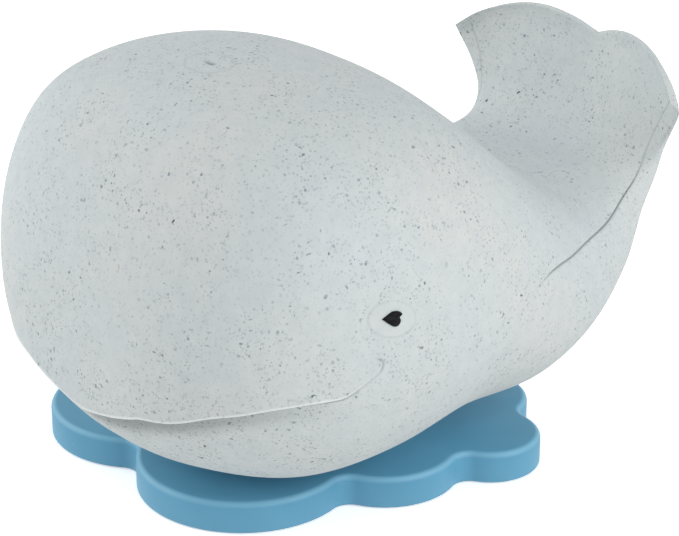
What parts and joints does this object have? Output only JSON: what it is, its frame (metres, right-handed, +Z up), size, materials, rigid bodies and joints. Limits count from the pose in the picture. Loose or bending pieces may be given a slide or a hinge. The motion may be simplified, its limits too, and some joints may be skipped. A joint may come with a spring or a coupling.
{
  "type": "squeaky bath toy",
  "caption": "Hollow rubber whale bath toy that plugs onto a splash-shaped base; the ribbed plug holds a reed squeaker and the whale lifts off for rinsing.",
  "frame": {"origin": "on the plug's axis, at the underside of the splash base", "axes": "+Z up, the whale's forehead towards -X and its tail towards +X, its left flank towards -Y"},
  "size_m": [0.1441, 0.1051, 0.095],
  "materials": {
    "speckled_rubber": "matt moulded rubber with fine blue-grey flecks",
    "blue_rubber": "satin moulded rubber",
    "eye_paint": "hand-dabbed black paint",
    "squeaker_plastic": "moulded natural plastic",
    "reed_plate_plastic": "moulded ivory plastic",
    "reed_film": "thin amber film"
  },
  "bodies": {
    "base": {"splash_base": "blue_rubber", "squeaker_case": "squeaker_plastic", "reed_plate": "reed_plate_plastic", "reed_clamp": "reed_plate_plastic", "squeaker_cap": "squeaker_plastic"},
    "whale": {"whale_body": "speckled_rubber", "eye_left": "eye_paint", "eye_right": "eye_paint"},
    "reed_strip": {"reed": "reed_film"}
  },
  "joints": [
    {"name": "base_lift", "type": "slide", "parent": "base", "child": "whale", "axis": [0, 0, 1], "range_m": [0, 0.03]},
    {"name": "reed_flutter", "type": "hinge", "parent": "base", "child": "reed_strip", "pos_m": [-0.0037, 0, 0.01568], "axis": [0, 1, 0], "range_deg": [-3, 3], "stiffness_Nm_per_rad": 0.002}
  ]
}
